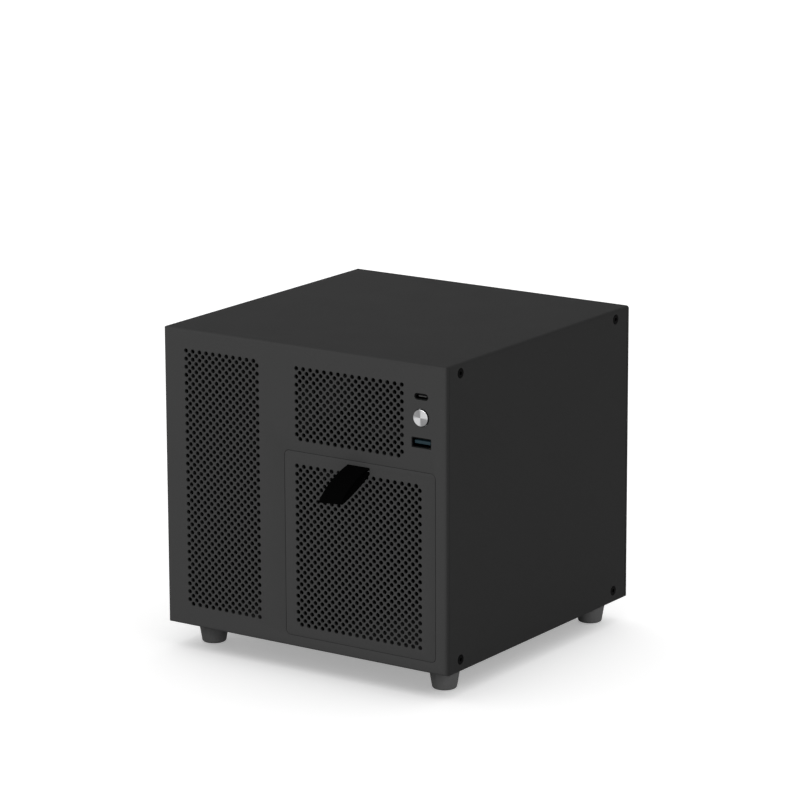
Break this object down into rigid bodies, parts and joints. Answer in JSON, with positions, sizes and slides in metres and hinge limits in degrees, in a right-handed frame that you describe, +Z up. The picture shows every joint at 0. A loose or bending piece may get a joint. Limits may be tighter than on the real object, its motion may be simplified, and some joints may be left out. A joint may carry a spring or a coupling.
{
  "type": "nas case",
  "caption": "Compact cube case for a home storage server: folded dark steel shell with perforated front, lift-off drive door with pull strap, front sockets, round power button and rubber feet.",
  "frame": {"origin": "on the floor under the middle of the whole part's box, strap included", "axes": "+Z up, +Y from the perforated front to the rear panel, +X to the right seen from the front"},
  "size_m": [0.204, 0.231, 0.2003],
  "materials": {
    "shell_coat": "fine matt powder coat, charcoal",
    "black_screw": "black oxide",
    "strap_ribbon": "black woven ribbon",
    "bare_steel": "plain plated steel",
    "magnet_plating": "nickel plated",
    "black_plastic": "moulded black plastic",
    "pale_plastic": "natural moulded plastic",
    "blue_plastic": "moulded blue plastic",
    "spun_metal": "spun face, turned grain",
    "circuit_board": "green solder mask",
    "brass": "turned brass",
    "foot_rubber": "moulded dark grey rubber"
  },
  "bodies": {
    "case": {"backplane_board": "circuit_board", "backplane_data_sockets": "black_plastic", "backplane_power_sockets": "pale_plastic", "base_tray": "shell_coat", "button_guide": "black_plastic", "cover_screws_left": "black_screw", "cover_screws_right": "black_screw", "door_magnets": "magnet_plating", "drive_cage_left": "shell_coat", "drive_cage_right": "shell_coat", "drive_connector_1": "black_plastic", "drive_connector_2": "black_plastic", "drive_connector_3": "black_plastic", "drive_connector_4": "black_plastic", "fan_bearing": "brass", "fan_frame": "black_plastic", "fan_screws": "black_screw", "front_io_board": "circuit_board", "front_panel": "shell_coat", "io_board_standoffs": "brass", "magnet_rail_bottom": "black_plastic", "magnet_rail_top": "black_plastic", "motherboard_standoffs": "brass", "motherboard_tray": "shell_coat", "power_switch": "black_plastic", "psu_shelf": "shell_coat", "rear_panel": "shell_coat", "rubber_feet": "foot_rubber", "top_cover": "shell_coat", "usb_a_shell": "bare_steel", "usb_a_tongue": "blue_plastic", "usb_c_shell": "bare_steel", "usb_c_tongue": "black_plastic"},
    "door": {"drive_door": "shell_coat", "door_pull_strap": "strap_ribbon", "strap_clamp": "bare_steel"},
    "button": {"power_button": "spun_metal", "switch_plunger": "black_plastic"},
    "rotor": {"fan_rotor": "black_plastic", "fan_shaft": "bare_steel"}
  },
  "joints": [
    {"name": "door_pull_off", "type": "slide", "parent": "case", "child": "door", "axis": [0, -1, 0], "range_m": [0, 0.12]},
    {"name": "power_button_press", "type": "slide", "parent": "case", "child": "button", "axis": [0, 1, 0], "range_m": [0, 0.0008], "stiffness_N_per_m": 400},
    {"name": "fan_spin", "type": "hinge", "parent": "case", "child": "rotor", "pos_m": [0.0406, 0.1015, 0.0793], "axis": [0, 1, 0], "continuous": true}
  ]
}
